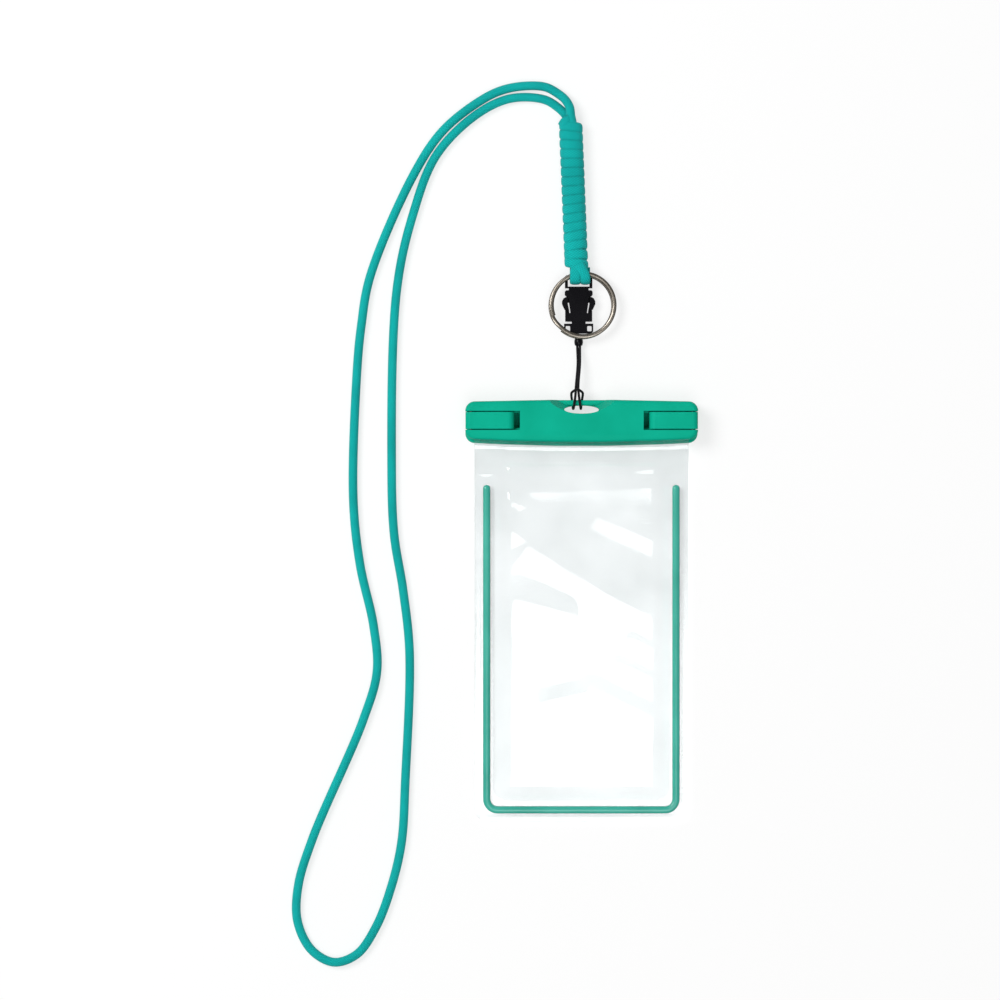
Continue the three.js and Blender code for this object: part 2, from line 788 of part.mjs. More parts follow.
// Braided sleeve: a lathed body with one swelling for each wrap, flattened and laid along its axis
function buildBraid() {
  const length = braidBottom.distanceTo(braidTop);
  const pitch = length / braidWraps;
  const profile = [new THREE.Vector2(0, 0)];
  for (let i = 0; i < braidWraps; i += 1) {
    const start = i * pitch;
    profile.push(new THREE.Vector2(1 - braidGroove / braidHalfWidth, start + (i === 0 ? 0 : 0.001)));
    profile.push(new THREE.Vector2(0.99, start + pitch * 0.28));
    profile.push(new THREE.Vector2(0.99, start + pitch * 0.72));
  }
  profile.push(new THREE.Vector2(1 - 2 * (braidGroove / braidHalfWidth), length));
  profile.push(new THREE.Vector2(0, length));
  const geometry = new THREE.LatheGeometry(profile, 14);
  geometry.scale(braidHalfWidth, 1, braidHalfThickness);
  const axis = braidTop.clone().sub(braidBottom);
  geometry.rotateZ(Math.atan2(axis.y, axis.x) - Math.PI / 2);
  return geometry.translate(braidBottom.x, braidBottom.y, braidHalfThickness);
}

// Split ring: two flat turns of wire with one step from the lower to the upper
class SplitRingCurve extends THREE.Curve {
  getPoint(t, target = new THREE.Vector3()) {
    const step = Math.PI / 6;
    const start = (200 * Math.PI) / 180;
    const swept = step + t * (4 * Math.PI - step);
    const past = THREE.MathUtils.clamp((swept - 2 * Math.PI) / step, 0, 1);
    const rise = past * past * (3 - 2 * past) - 0.5;
    const angle = start + swept;
    return target.set(
      ringCentre.x + ringRadius * Math.cos(angle),
      ringCentre.y + ringRadius * Math.sin(angle),
      ringCentre.z + rise * ringCoilPitch,
    );
  }
}

function buildSplitRing() {
  return tube(new SplitRingCurve(), oval(ringWireHeight / 2, ringWireWidth / 2, 8), 72);
}

// Tether: one thin cord, hitched round the bar with both ends in the plug
function buildTether() {
  const behind = hitchBarLow - contactGap - tetherDiameter / 2;
  const before = hitchBarHigh + 0.4 + tetherDiameter / 2;
  const middle = buckleMiddle;
  const start = plugEnd - contactGap;
  const bead = (tetherBeadLow + tetherBeadHigh) / 2;
  const half = [
    [buckleX - tetherX, 0.66, start, middle, 0],
    [buckleX - tetherX, 0.66, bead, middle, 0],
    [buckleX - tetherX, 0.6, tetherBeadLow - 1.5, middle, 0.2],
    [0.85, 0.5, pouchTop + 17, middle + 2.4, 0.37],
    [0, 0.55, pouchTop + 6.2, before - 1.6, 0.3],
    [0, 0.72, pouchTop + 3.2, before - 0.7, 0],
    [0, 1.15, pouchTop - 0.6, before, 0],
    [0, 1.45, holeY + 2, before - 0.2, 0],
    [0, 1.65, holeY + 0.9, before - 1.5, 0],
    [0, 1.75, holeY + 0.5, (before + behind) / 2, 0],
    [0, 1.9, holeY + 0.8, behind + 0.8, 0],
    [0, 2.2, pouchTop - 1.2, behind - 0.15, 0],
    [0, 2.6, pouchTop + 1.4, behind + 0.7, 0],
    [0, 2.7, pouchTop + 2.4, behind + 3.2, 0],
    [0, 2.4, pouchTop + 3.6, before - 0.2, 0],
  ];
  const strand = (side) => half.map(
    ([shift, out, y, z, lift]) => new THREE.Vector3(tetherX + shift + side * out, y, z + side * lift),
  );
  const apex = new THREE.Vector3(tetherX, pouchTop + 4.9, before + 0.9);
  const points = [...strand(-1), apex, ...strand(1).reverse()];
  const path = new THREE.CatmullRomCurve3(points, false, 'centripetal');
  return tube(path, oval(tetherDiameter / 2, tetherDiameter / 2, 8), 76);
}

function buildTetherBead() {
  const low = tetherBeadLow;
  const high = tetherBeadHigh;
  const profile = [
    [tetherBeadBore, low],
    [tetherBeadRadius - 0.4, low],
    [tetherBeadRadius - 0.1, low + 0.8],
    [tetherBeadRadius, (low + high) / 2],
    [tetherBeadRadius - 0.1, high - 0.8],
    [tetherBeadRadius - 0.4, high],
    [tetherBeadBore, high],
    [tetherBeadBore, low],
  ];
  const geometry = new THREE.LatheGeometry(profile.map(([r, y]) => new THREE.Vector2(r, y)), 20);
  return geometry.translate(buckleX, 0, buckleMiddle);
}

// Neck cord: the route of its middle line in X, Y and Z, from the braid round the loop and back
const cordRoute = [
  [-5.0, 234.4, 6.4],
  [-5.6, 238.6, 5.7],
  [-7.5, 242.1, 4.6],
  [-10.4, 244.8, 3.3],
  [-16.7, 248.4, cordRest],
  [-25.2, 249.1, cordRest],
  [-36.4, 247.4, cordRest],
  [-46.6, 242.8, cordRest],
  [-65.2, 228.3, cordRest],
  [-79.0, 208.0, cordRest],
  [-100.1, 159.0, cordRest],
  [-104.4, 135.4, cordRest],
  [-106.6, 111.0, cordRest],
  [-108.2, 53.0, cordRest],
  [-105.0, 22.0, cordRest],
  [-98.6, -7.0, cordRest],
  [-97.0, -29.0, cordRest],
  [-103.6, -52.0, cordRest],
  [-127.5, -108.0, cordRest],
  [-134.4, -130.9, cordRest],
  [-134.6, -147.5, cordRest],
  [-128.0, -160.9, cordRest],
  [-117.4, -166.7, cordRest],
  [-106.5, -162.9, cordRest],
  [-97.6, -150.3, cordRest],
  [-90.6, -132.3, cordRest],
  [-85.4, -110.4, cordRest],
  [-83.5, -80.1, cordRest],
  [-81.5, -20.0, cordRest],
  [-84.6, 10.0, cordRest],
  [-88.8, 36.0, cordRest],
  [-90.0, 68.0, cordRest],
  [-87.6, 152.0, cordRest],
  [-79.9, 188.0, cordRest],
  [-68.9, 216.0, cordRest],
  [-50.4, 235.0, cordRest],
  [-34.0, 243.0, cordRest],
  [-18.0, 242.7, cordRest],
  [-11.2, 238.9, cordRest],
  [-7.2, 234.6, 2.2],
];

function buildLanyardCord() {
  const points = cordRoute.map(([x, y, z]) => new THREE.Vector3(x, y, z));
  const path = new THREE.CatmullRomCurve3(points, false, 'centripetal');
  return tube(path, oval(cordDiameter / 2, cordDiameter / 2, 8), 80);
}

addPiece('rear_shell', geometryOf(buildRearShell()), green);
addPiece('front_shell', geometryOf(buildFrontShell()), green);
for (const [name, side] of [['left', -1], ['right', 1]]) {
  addPiece(`${name}_latch`, geometryOf(buildLatch(side)), green);
  addPiece(`${name}_latch_pin`, buildPin(side), steel);
}
addPiece('rear_seal_strip', buildSeal(-1), silicone);
addPiece('front_seal_strip', buildSeal(1), silicone);
addPiece('rear_sheet', geometryOf(buildRearSheet()), film);
addPiece('front_sheet', geometryOf(buildFrontSheet()), film);
addPiece('trim_bead', buildTrimBead(), trim);
addPiece('tether_cord', buildTether(), blackCord);
addPiece('tether_bead', buildTetherBead(), black);
addPiece('buckle_plug', geometryOf(buildPlug()), black);
addPiece('buckle_socket', geometryOf(buildSocket()), black);
addPiece('bar_loop', buildBarLoop(), teal);
addPiece('braided_sleeve', buildBraid(), teal);
addPiece('split_ring', buildSplitRing(), nickel);
addPiece('lanyard_cord', buildLanyardCord(), teal);

export default pouch;
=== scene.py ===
"""A waterproof phone pouch on a neck lanyard, lying on a pale floor and seen from straight above."""

import math

import bmesh
import bpy
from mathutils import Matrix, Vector, noise


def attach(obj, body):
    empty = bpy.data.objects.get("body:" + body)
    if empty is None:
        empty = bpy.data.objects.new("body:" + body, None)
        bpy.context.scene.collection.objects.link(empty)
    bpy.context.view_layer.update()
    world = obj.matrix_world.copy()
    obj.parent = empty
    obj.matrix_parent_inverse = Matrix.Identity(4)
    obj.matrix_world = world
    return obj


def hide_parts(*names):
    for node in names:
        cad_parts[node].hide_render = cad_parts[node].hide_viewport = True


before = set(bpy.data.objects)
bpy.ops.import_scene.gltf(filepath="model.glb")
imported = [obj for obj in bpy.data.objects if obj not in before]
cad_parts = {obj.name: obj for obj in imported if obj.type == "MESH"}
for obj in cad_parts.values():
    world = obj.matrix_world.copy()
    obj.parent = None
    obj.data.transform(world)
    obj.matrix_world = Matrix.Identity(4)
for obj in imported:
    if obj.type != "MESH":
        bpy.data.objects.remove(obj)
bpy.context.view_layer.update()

MM = 0.001
UP = Vector((0, 0, 1))

# The view: a square of floor seen from straight above

VIEW_WIDTH = 0.4741
VIEW_CENTRE = (-0.0386, 0.0526)
CAMERA_HEIGHT = 2.4
SENSOR_WIDTH = 36


def point_at(thing, target):
    thing.rotation_euler = (Vector(target) - thing.location).to_track_quat("-Z", "Y").to_euler()


def build_camera():
    data = bpy.data.cameras.new("overhead_camera")
    data.sensor_width = SENSOR_WIDTH
    data.lens = SENSOR_WIDTH * CAMERA_HEIGHT / VIEW_WIDTH
    camera = bpy.data.objects.new("overhead_camera", data)
    camera.location = (*VIEW_CENTRE, CAMERA_HEIGHT + 4 * MM)
    bpy.context.scene.collection.objects.link(camera)
    bpy.context.scene.camera = camera


# Node helpers


def paint(red, green, blue):
    """A colour as a screen shows it, from 0 to 255, turned into linear light."""
    def linear(value):
        share = value / 255
        return share / 12.92 if share <= 0.04045 else ((share + 0.055) / 1.055) ** 2.4
    return (linear(red), linear(green), linear(blue), 1.0)


def add(tree, kind, inputs=None, **settings):
    node = tree.nodes.new("ShaderNode" + kind)
    for key, value in settings.items():
        setattr(node, key, value)
    for key, value in (inputs or {}).items():
        if isinstance(value, bpy.types.NodeSocket):
            tree.links.new(value, node.inputs[key])
        else:
            node.inputs[key].default_value = value
    return node


def maths(tree, operation, *values):
    return add(tree, "Math", dict(enumerate(values)), operation=operation).outputs[0]


def blend_colours(tree, share, first, second):
    """The first colour where share is 0 and the second where it is 1."""
    node = add(tree, "Mix", data_type="RGBA")
    for socket, value in ((node.inputs[0], share), (node.inputs[6], first), (node.inputs[7], second)):
        if isinstance(value, bpy.types.NodeSocket):
            tree.links.new(value, socket)
        else:
            socket.default_value = value
    return node.outputs[2]


def spread(tree, value, low, high, to_low, to_high):
    """Carries a value from one range to another and stops at its ends."""
    return add(tree, "MapRange", {0: value, 1: low, 2: high, 3: to_low, 4: to_high}).outputs[0]


def new_group(name, inputs, outputs):
    group = bpy.data.node_groups.new(name, "ShaderNodeTree")
    for label, kind, value in inputs:
        socket = group.interface.new_socket(label, in_out="INPUT", socket_type="NodeSocket" + kind)
        if value is not None:
            socket.default_value = value
    for label in outputs:
        group.interface.new_socket(label, in_out="OUTPUT", socket_type="NodeSocketFloat")
    entry = group.nodes.new("NodeGroupInput").outputs
    leave = group.nodes.new("NodeGroupOutput").inputs
    return group, entry, leave


def moulded_grain_group():
    """The fine spark grain of a moulding, and the slow change of tone over it."""
    group, entry, leave = new_group(
        "moulded grain",
        [("Vector", "Vector", None), ("Grain Scale", "Float", 2500.0), ("Tone Scale", "Float", 60.0)],
        ["Height", "Tone"],
    )
    fine = add(group, "TexNoise", {"Vector": entry[0], "Scale": entry[1], "Detail": 2.0})
    slow = add(group, "TexNoise", {"Vector": entry[0], "Scale": entry[2], "Detail": 3.0})
    group.links.new(fine.outputs[0], leave[0])
    group.links.new(slow.outputs[0], leave[1])
    return group


def woven_sheath_group():
    """A plaited sheath: strands cross over and under in a diamond lattice. U is turns, V is metres."""
    group, entry, leave = new_group(
        "woven sheath",
        [("UV", "Vector", None), ("Strands", "Float", 8.0), ("Per Metre", "Float", 420.0)],
        ["Height", "Groove Shade"],
    )
    place = add(group, "SeparateXYZ", {0: entry[0]}).outputs
    around = maths(group, "MULTIPLY", place[0], entry[1])
    along = maths(group, "MULTIPLY", place[1], entry[2])
    rising = maths(group, "ADD", around, along)
    falling = maths(group, "SUBTRACT", around, along)
    humps = []
    for value in (rising, falling):
        inside = maths(group, "FRACT", value)
        humps.append(maths(group, "SINE", maths(group, "MULTIPLY", inside, math.pi)))
    cells = maths(group, "ADD", maths(group, "FLOOR", rising), maths(group, "FLOOR", falling))
    over = maths(group, "MODULO", maths(group, "ABSOLUTE", cells), 2.0)
    first = maths(group, "MULTIPLY", humps[0], maths(group, "POWER", humps[1], 0.4))
    second = maths(group, "MULTIPLY", humps[1], maths(group, "POWER", humps[0], 0.4))
    kept = maths(group, "MULTIPLY", first, over)
    other = maths(group, "MULTIPLY", second, maths(group, "SUBTRACT", 1.0, over))
    height = maths(group, "ADD", kept, other)
    group.links.new(height, leave[0])
    # Groove Shade output: 1 in the hollows between strands, the mask where the cord finish paints shade
    group.links.new(spread(group, height, 0.1, 0.6, 1.0, 0.0), leave[1])
    return group


def scuff_group():
    """Fine scratches, as the thin middle lines of a stretched noise."""
    group, entry, leave = new_group(
        "fine scuffs",
        [("Vector", "Vector", None), ("Scale", "Float", 300.0), ("Width", "Float", 0.02)],
        ["Mask"],
    )
    field = add(group, "TexNoise", {"Vector": entry[0], "Scale": entry[1], "Detail": 1.0})
    off = maths(group, "ABSOLUTE", maths(group, "SUBTRACT", field.outputs[0], 0.5))
    group.links.new(maths(group, "LESS_THAN", off, entry[2]), leave[0])
    return group


def group_node(tree, group, inputs):
    node = add(tree, "Group", node_tree=group)
    for key, value in inputs.items():
        if isinstance(value, bpy.types.NodeSocket):
            tree.links.new(value, node.inputs[key])
        else:
            node.inputs[key].default_value = value
    return node.outputs


GRAIN = moulded_grain_group()
SHEATH = woven_sheath_group()
SCUFFS = scuff_group()


def new_material(name, sockets):
    material = bpy.data.materials.new(name)
    material.use_nodes = True
    shader = material.node_tree.nodes["Principled BSDF"]
    for key, value in sockets.items():
        shader.inputs[key].default_value = value
    return material, material.node_tree, shader


def join(tree, source, shader, socket):
    tree.links.new(source, shader.inputs[socket])


def bump(tree, height, depth, strength=1.0):
    node = add(tree, "Bump", {"Height": height, "Distance": depth, "Strength": strength})
    return node.outputs[0]


# Finishes


def moulded(name, shade, light, roughness, grain_scale=2500.0, grain_depth=0.00001, **sockets):
    """A moulded plastic or rubber between two near colours."""
    material, tree, shader = new_material(name, sockets)
    place = add(tree, "TexCoord").outputs["Object"]
    grain = group_node(tree, GRAIN, {"Vector": place, "Grain Scale": grain_scale, "Tone Scale": 45.0})
    scuffs = group_node(tree, SCUFFS, {"Vector": place, "Scale": 160.0, "Width": 0.004})
    tone = spread(tree, grain["Tone"], 0.3, 0.7, 0.0, 1.0)
    join(tree, blend_colours(tree, tone, shade, light), shader, "Base Color")
    rough = spread(tree, grain["Tone"], 0.3, 0.7, roughness * 0.88, roughness * 1.12)
    join(tree, maths(tree, "ADD", rough, maths(tree, "MULTIPLY", scuffs[0], 0.03)), shader, "Roughness")
    join(tree, bump(tree, grain["Height"], grain_depth), shader, "Normal")
    return material


def woven(name, shade, light, strands, per_metre, depth):
    """A plaited cord with painted shade between its strands, a little uneven along its length."""
    material, tree, shader = new_material(
        name,
        {"Roughness": 0.8, "Sheen Weight": 0.05, "Sheen Roughness": 0.5, "Specular IOR Level": 0.15},
    )
    uv = add(tree, "UVMap", uv_map="weave").outputs[0]
    place = add(tree, "TexCoord").outputs["Object"]
    sheath = group_node(tree, SHEATH, {"UV": uv, "Strands": strands, "Per Metre": per_metre})
    grain = group_node(tree, GRAIN, {"Vector": place, "Grain Scale": 6000.0, "Tone Scale": 70.0})
    tone = spread(tree, grain["Tone"], 0.3, 0.7, 0.0, 1.0)
    colour = blend_colours(tree, tone, shade, light)
    # Painted shade: the hollows between strands are blended towards a darker copy of the cord colour
    painted_groove_shade = tuple(value * 0.42 for value in shade[:3]) + (1.0,)
    groove_shade_share = maths(tree, "MULTIPLY", sheath["Groove Shade"], 0.65)
    join(tree, blend_colours(tree, groove_shade_share, colour, painted_groove_shade), shader, "Base Color")
    threads = maths(tree, "MULTIPLY", grain["Height"], 0.35)
    join(tree, bump(tree, maths(tree, "ADD", sheath["Height"], threads), depth), shader, "Normal")
    return material


def clear_film(name):
    """Clear vinyl: it bends little light, shines where it faces a lamp, and lets lamp light through."""
    material, tree, shader = new_material(
        name,
        {"Transmission Weight": 1.0, "IOR": 1.42, "Specular IOR Level": 0.5},
    )
    place = add(tree, "TexCoord").outputs["Object"]
    grain = group_node(tree, GRAIN, {"Vector": place, "Grain Scale": 700.0, "Tone Scale": 26.0})
    scuffs = group_node(tree, SCUFFS, {"Vector": place, "Scale": 90.0, "Width": 0.003})
    cloud = spread(tree, grain["Tone"], 0.35, 0.68, 0.0, 1.0)
    tint = blend_colours(tree, cloud, FILM_CLEAR, FILM_MILKY)
    join(tree, tint, shader, "Base Color")
    haze = maths(tree, "ADD", 0.05, maths(tree, "MULTIPLY", cloud, 0.06))
    join(tree, maths(tree, "ADD", haze, maths(tree, "MULTIPLY", scuffs[0], 0.02)), shader, "Roughness")
    join(tree, bump(tree, grain["Height"], 0.000012), shader, "Normal")
    through = add(tree, "BsdfTransparent", {"Color": (0.97, 0.975, 0.98, 1.0)})
    shadow = add(tree, "LightPath").outputs["Is Shadow Ray"]
    mixed = add(tree, "MixShader", {0: shadow, 1: shader.outputs[0], 2: through.outputs[0]})
    tree.links.new(mixed.outputs[0], tree.nodes["Material Output"].inputs["Surface"])
    return material


def worn_metal(name, shade, light, roughness):
    material, tree, shader = new_material(name, {"Metallic": 1.0})
    place = add(tree, "TexCoord").outputs["Object"]
    grain = group_node(tree, GRAIN, {"Vector": place, "Grain Scale": 1800.0, "Tone Scale": 220.0})
    scuffs = group_node(tree, SCUFFS, {"Vector": place, "Scale": 700.0, "Width": 0.01})
    tone = spread(tree, grain["Tone"], 0.35, 0.65, 0.0, 1.0)
    join(tree, blend_colours(tree, tone, shade, light), shader, "Base Color")
    rough = spread(tree, grain["Tone"], 0.3, 0.7, roughness * 1.25, roughness * 0.8)
    join(tree, maths(tree, "ADD", rough, maths(tree, "MULTIPLY", scuffs[0], 0.06)), shader, "Roughness")
    join(tree, bump(tree, grain["Height"], 0.000003), shader, "Normal")
    return material


FILM_CLEAR = (0.87, 0.888, 0.888, 1.0)
FILM_MILKY = (0.915, 0.929, 0.93, 1.0)
LOW_GLOSS = {"Specular IOR Level": 0.025}
DARK_GLOSS = {"Specular IOR Level": 0.12}

CLIP_GREEN = moulded("clip_green", paint(8, 168, 137), paint(13, 180, 149), 0.42, **LOW_GLOSS)
TRIM_GREEN = moulded("trim_green", paint(50, 162, 143), paint(66, 182, 163), 0.2, grain_depth=0.000002)
BUCKLE_BLACK = moulded(
    "buckle_black", paint(6, 5, 9), paint(11, 10, 15), 0.22, 3500.0, 0.000005, **DARK_GLOSS,
)
SILICONE = moulded("pale_silicone", paint(214, 221, 218), paint(226, 232, 229), 0.6)
FILM = clear_film("clear_vinyl")
NICKEL = worn_metal("ring_nickel", paint(114, 108, 99), paint(138, 132, 123), 0.28)
STEEL = worn_metal("pin_steel", paint(170, 170, 168), paint(196, 196, 194), 0.25)
CORD_TEAL = woven("cord_teal", paint(4, 176, 172), paint(10, 192, 187), 14.0, 760.0, 0.00012)
TETHER_BLACK = woven("tether_black", paint(22, 21, 24), paint(34, 33, 36), 6.0, 1100.0, 0.00008)


# Mesh helpers


def even_line(points, spacing):
    """The same line with points an even distance apart."""
    total = sum((b - a).length for a, b in zip(points, points[1:]))
    steps = max(2, round(total / spacing))
    line = [points[0].copy()]
    walked = 0.0
    for a, b in zip(points, points[1:]):
        span = (b - a).length
        while len(line) < steps and walked + span >= len(line) * total / steps:
            line.append(a.lerp(b, (len(line) * total / steps - walked) / span))
        walked += span
    line.append(points[-1].copy())
    return line


def smooth_line(points, spacing):
    """One smooth centripetal curve through the chosen points."""
    knots = [Vector(p) for p in points]
    knots = [2 * knots[0] - knots[1], *knots, 2 * knots[-1] - knots[-2]]

    def slope(a, b, c, first, second):
        return (b - a) / first - (c - a) / (first + second) + (c - b) / second

    parts = 30
    dense = []
    for a, b, c, d in zip(knots, knots[1:], knots[2:], knots[3:]):
        first, middle, last = (math.sqrt((q - p).length) for p, q in ((a, b), (b, c), (c, d)))
        leave = slope(a, b, c, first, middle) * middle
        arrive = slope(b, c, d, middle, last) * middle
        for step in range(parts):
            t = step / parts
            start = (2 * t - 3) * t * t + 1
            end = (3 - 2 * t) * t * t
            dense.append(b * start + c * end + leave * (t * (1 - t) ** 2) + arrive * (t * t * (t - 1)))
    dense.append(knots[-2])
    return even_line(dense, spacing)


def directions(line, side=None):
    """The side and lift directions along a line: kept to a given side, or carried without twist."""
    found = []
    carried = side
    for i in range(len(line)):
        ahead = (line[min(i + 1, len(line) - 1)] - line[max(i - 1, 0)]).normalized()
        carried = ahead.cross(UP) if carried is None else carried
        carried = (carried - ahead * carried.dot(ahead)).normalized()
        found.append((carried, carried.cross(ahead)))
        carried = side or carried
    return found


def cushion(half_width, half_height, power=3.0):
    """A section between an oval and a rectangle, for cords pressed together and flat wire."""
    def section(turn, share):
        side, lift = math.cos(turn), math.sin(turn)
        square = (abs(side) ** power + abs(lift) ** power) ** (1 / power)
        return side / square * half_width, lift / square * half_height
    return section


def oval(half_width, half_height):
    """A round or oval section, for rolled_tube."""
    return lambda turn, share: (half_width * math.cos(turn), half_height * math.sin(turn))


def rolled_tube(mesh, line, section, sides, side=None):
    """A grid rolled round a line into a closed tube, with U round it and V along it in metres."""
    steps = len(line) - 1
    length = sum((b - a).length for a, b in zip(line, line[1:]))
    weave = mesh.loops.layers.uv.verify()
    made = bmesh.ops.create_grid(mesh, x_segments=sides, y_segments=steps, size=1.0)["verts"]
    faces = {face for vert in made for face in vert.link_faces}
    for face in faces:
        for corner in face.loops:
            u, v = (corner.vert.co.x + 1) / 2, (corner.vert.co.y + 1) / 2
            corner[weave].uv = (u, v * length)
    ways = directions(line, side)
    for vert in made:
        column = round((vert.co.x + 1) / 2 * sides)
        row = round((vert.co.y + 1) / 2 * steps)
        out, rise = section(2 * math.pi * (column % sides) / sides, row / steps)
        vert.co = line[row] + ways[row][0] * out + ways[row][1] * rise
    bmesh.ops.remove_doubles(mesh, verts=made, dist=1e-7)
    rims = [edge for edge in mesh.edges if edge.is_boundary]
    bmesh.ops.holes_fill(mesh, edges=rims, sides=0)
    bmesh.ops.recalc_face_normals(mesh, faces=mesh.faces)


def make_piece(mesh, name, material, body, slot, *nodes, sharp=35):
    """Turns a mesh into a finished piece that rides on a body and stands for CAD nodes."""
    data = bpy.data.meshes.new(name)
    mesh.to_mesh(data)
    mesh.free()
    if "weave" not in data.uv_layers and data.uv_layers:
        data.uv_layers[0].name = "weave"
    data.materials.append(material)
    data.polygons.foreach_set("use_smooth", [True] * len(data.polygons))
    data.set_sharp_from_angle(angle=math.radians(sharp))
    piece = bpy.data.objects.new(name, data)
    bpy.context.scene.collection.objects.link(piece)
    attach(piece, body)
    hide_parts(*nodes)
    return piece


def node_mesh(node):
    """A merged copy of a CAD node, with flat faces whole."""
    mesh = bmesh.new()
    mesh.from_mesh(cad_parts[node].data)
    bmesh.ops.remove_doubles(mesh, verts=mesh.verts, dist=1e-6)
    bmesh.ops.dissolve_limit(mesh, angle_limit=math.radians(1), verts=mesh.verts, edges=mesh.edges)
    return mesh


def soften(mesh, radius, least=35, segments=2):
    """Rounds the edges that are sharper than an angle."""
    edges = [
        edge for edge in mesh.edges
        if edge.is_manifold and edge.is_convex and edge.calc_face_angle(0) > math.radians(least)
    ]
    bmesh.ops.bevel(
        mesh,
        geom=edges,
        offset=radius,
        affect="EDGES",
        segments=segments,
        profile=0.5,
        material=-1,
        clamp_overlap=True,
    )


def smoothstep(value):
    t = min(1.0, max(0.0, value))
    return t * t * (3 - 2 * t)


# Neck cord: the route of its middle line, the same points as the solid's

CORD_DIAMETER = 0.0042
CORD_REST = CORD_DIAMETER / 2 / MM + 0.1
CORD_ROUTE = [
    (-5.0, 234.4, 6.4),
    (-5.6, 238.6, 5.7),
    (-7.5, 242.1, 4.6),
    (-10.4, 244.8, 3.3),
    (-16.7, 248.4, CORD_REST),
    (-25.2, 249.1, CORD_REST),
    (-36.4, 247.4, CORD_REST),
    (-46.6, 242.8, CORD_REST),
    (-65.2, 228.3, CORD_REST),
    (-79.0, 208.0, CORD_REST),
    (-100.1, 159.0, CORD_REST),
    (-104.4, 135.4, CORD_REST),
    (-106.6, 111.0, CORD_REST),
    (-108.2, 53.0, CORD_REST),
    (-105.0, 22.0, CORD_REST),
    (-98.6, -7.0, CORD_REST),
    (-97.0, -29.0, CORD_REST),
    (-103.6, -52.0, CORD_REST),
    (-127.5, -108.0, CORD_REST),
    (-134.4, -130.9, CORD_REST),
    (-134.6, -147.5, CORD_REST),
    (-128.0, -160.9, CORD_REST),
    (-117.4, -166.7, CORD_REST),
    (-106.5, -162.9, CORD_REST),
    (-97.6, -150.3, CORD_REST),
    (-90.6, -132.3, CORD_REST),
    (-85.4, -110.4, CORD_REST),
    (-83.5, -80.1, CORD_REST),
    (-81.5, -20.0, CORD_REST),
    (-84.6, 10.0, CORD_REST),
    (-88.8, 36.0, CORD_REST),
    (-90.0, 68.0, CORD_REST),
    (-87.6, 152.0, CORD_REST),
    (-79.9, 188.0, CORD_REST),
    (-68.9, 216.0, CORD_REST),
    (-50.4, 235.0, CORD_REST),
    (-34.0, 243.0, CORD_REST),
    (-18.0, 242.7, CORD_REST),
    (-11.2, 238.9, CORD_REST),
    (-7.2, 234.6, 2.2),
]
# Where its two ends lie inside the braided sleeve
SLEEVE_ENTRY = (-4.0, 229.8, 6.5)
SLEEVE_EXIT = (-6.3, 229.8, 2.4)


def metres(points):
    return [Vector(p) * MM for p in points]


def build_neck_cord():
    line = smooth_line(metres([SLEEVE_ENTRY, *CORD_ROUTE, SLEEVE_EXIT]), 1.1 * MM)
    mesh = bmesh.new()
    radius = CORD_DIAMETER / 2
    rolled_tube(mesh, line, oval(radius, radius), 16)
    cord = make_piece(mesh, "neck_cord", CORD_TEAL, "lanyard", "cord_teal", "lanyard_cord")
    return cord, line


# Braided sleeve: one cord wound flat round the neck cord's two ends

BRAID_BOTTOM = Vector((-2.3, 161.8, 4.6)) * MM
BRAID_TOP = Vector((-5.2, 232.6, 4.6)) * MM
BRAID_TURNS = 15.5
FIRST_WRAP = 1.78 * MM
WRAP_PITCH = 4.32 * MM
MOST_LEAN = 2.1 * MM
BRAID_REACH = 3.9 * MM
BRAID_RISE = 2.6 * MM
WRAP_HALF_WIDTH = 2.36 * MM
WRAP_HALF_THICKNESS = 1.75 * MM
WRAP_SQUARENESS = 3.4
SIDE_FULLNESS = 0.72
RISE_FULLNESS = 0.95
LEAN_START = 0.18
CORE_HALF_WIDTH = 3.6 * MM
CORE_HALF_THICKNESS = 2.6 * MM
# The cord's end tucked across the top of the sleeve: up, out and rise in millimetres
TUCKED_END = [(0.5, -3.3, 1.6), (1.5, -2.2, 2.5), (2.3, -0.6, 2.2), (2.0, 1.0, 0.6)]


def flattened(value, power):
    """A cosine or sine made fuller, so that a turn runs straighter over the front and back."""
    return math.copysign(abs(value) ** power, value)


def build_braid():
    axis = (BRAID_TOP - BRAID_BOTTOM).normalized()
    across = axis.cross(UP)

    def place(height, out, rise):
        return BRAID_BOTTOM + axis * height + across * out + UP * rise

    wound = []
    steps = int(BRAID_TURNS * 32)
    for i in range(steps + 1):
        share = i / steps
        turn = share * BRAID_TURNS
        angle = 2 * math.pi * turn
        lean = MOST_LEAN * (1 - share) * smoothstep(share / LEAN_START)
        height = FIRST_WRAP + WRAP_PITCH * turn + lean * math.cos(angle)
        out = BRAID_REACH * flattened(math.cos(angle), SIDE_FULLNESS)
        wound.append(place(height, out, BRAID_RISE * flattened(math.sin(angle), RISE_FULLNESS)))
    top = FIRST_WRAP + WRAP_PITCH * BRAID_TURNS
    wound += [place(top + up * MM, out * MM, rise * MM) for up, out, rise in TUCKED_END]
    mesh = bmesh.new()
    line = even_line(wound, 0.7 * MM)
    rolled_tube(mesh, line, cushion(WRAP_HALF_WIDTH, WRAP_HALF_THICKNESS, WRAP_SQUARENESS), 20, side=axis)
    core = bmesh.new()
    ends = [BRAID_BOTTOM + axis * (1.2 * MM), BRAID_TOP - axis * (2.5 * MM)]
    rolled_tube(core, even_line(ends, 2 * MM), oval(CORE_HALF_WIDTH, CORE_HALF_THICKNESS), 20)
    inner = bpy.data.meshes.new("braid_core")
    core.to_mesh(inner)
    core.free()
    mesh.from_mesh(inner)
    return make_piece(mesh, "braided_wraps", CORD_TEAL, "lanyard", "cord_teal", "braided_sleeve", sharp=60)


# Cord loop round the crossbar

LOOP_FRONT = 9.2
LOOP_REAR = 1.3
LOOP_TURN = 155.8
LOOP_HALF_THICKNESS = 1.15
